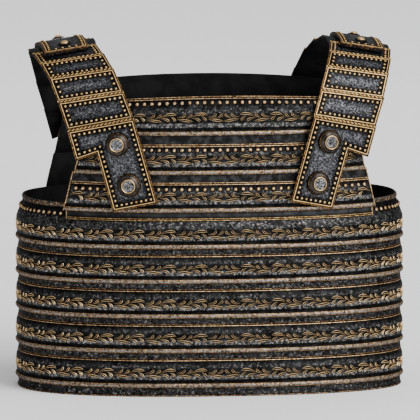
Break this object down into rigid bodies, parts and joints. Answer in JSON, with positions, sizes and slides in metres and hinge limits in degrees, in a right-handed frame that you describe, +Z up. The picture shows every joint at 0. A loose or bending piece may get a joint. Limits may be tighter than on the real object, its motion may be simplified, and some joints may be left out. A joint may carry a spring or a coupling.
{
  "type": "cuirass",
  "caption": "Segmented steel cuirass: closed girdle bands, breast and back plates with open armholes, and laminated shoulder straps with studs; rests on its hem ring.",
  "frame": {"origin": "centre of the hem ring's lower face, on which the cuirass stands", "axes": "+Z up, from the hem to the shoulders; -Y is the front, where the breast plates are; +X is the wearer's left, and the cuirass is widest along X and mirrored about the plane X = 0"},
  "size_m": [0.42, 0.268, 0.3789],
  "materials": {
    "blackened_steel": "blackened steel, satin, worn bright with a warm gilt tone on beads and edges",
    "grey_steel": "plain dull grey steel, lightly speckled",
    "mottled_steel": "mottled grey steel field, satin",
    "stud_steel": "blackened steel, turned, satin",
    "worn_brass": "worn brass, satin"
  },
  "bodies": {
    "root": {"girdle_band_1": "blackened_steel", "girdle_band_2": "blackened_steel", "girdle_band_3": "blackened_steel", "girdle_band_4": "blackened_steel", "girdle_band_5": "blackened_steel", "hem_ring": "grey_steel", "front_waist_strip": "grey_steel", "front_plate_1": "blackened_steel", "front_plate_2": "blackened_steel", "front_plate_3": "blackened_steel", "back_waist_strip": "grey_steel", "back_plate_1": "blackened_steel", "back_plate_2": "blackened_steel", "back_plate_3": "blackened_steel", "left_front_end_plate": "mottled_steel", "left_front_lame_1": "mottled_steel", "left_front_lame_2": "mottled_steel", "left_front_lame_3": "mottled_steel", "left_front_lame_4": "mottled_steel", "left_front_stud_1": "stud_steel", "left_front_stud_2": "stud_steel", "left_back_end_plate": "mottled_steel", "left_back_lame_1": "mottled_steel", "left_back_lame_2": "mottled_steel", "left_back_lame_3": "mottled_steel", "left_back_lame_4": "mottled_steel", "left_back_stud_1": "stud_steel", "left_back_stud_2": "stud_steel", "left_crown_strip": "grey_steel", "left_shoulder_cap": "mottled_steel", "left_front_cap_stud": "worn_brass", "left_back_cap_stud": "worn_brass", "right_front_end_plate": "mottled_steel", "right_front_lame_1": "mottled_steel", "right_front_lame_2": "mottled_steel", "right_front_lame_3": "mottled_steel", "right_front_lame_4": "mottled_steel", "right_front_stud_1": "stud_steel", "right_front_stud_2": "stud_steel", "right_back_end_plate": "mottled_steel", "right_back_lame_1": "mottled_steel", "right_back_lame_2": "mottled_steel", "right_back_lame_3": "mottled_steel", "right_back_lame_4": "mottled_steel", "right_back_stud_1": "stud_steel", "right_back_stud_2": "stud_steel", "right_crown_strip": "grey_steel", "right_shoulder_cap": "mottled_steel", "right_front_cap_stud": "worn_brass", "right_back_cap_stud": "worn_brass"}
  },
  "joints": []
}
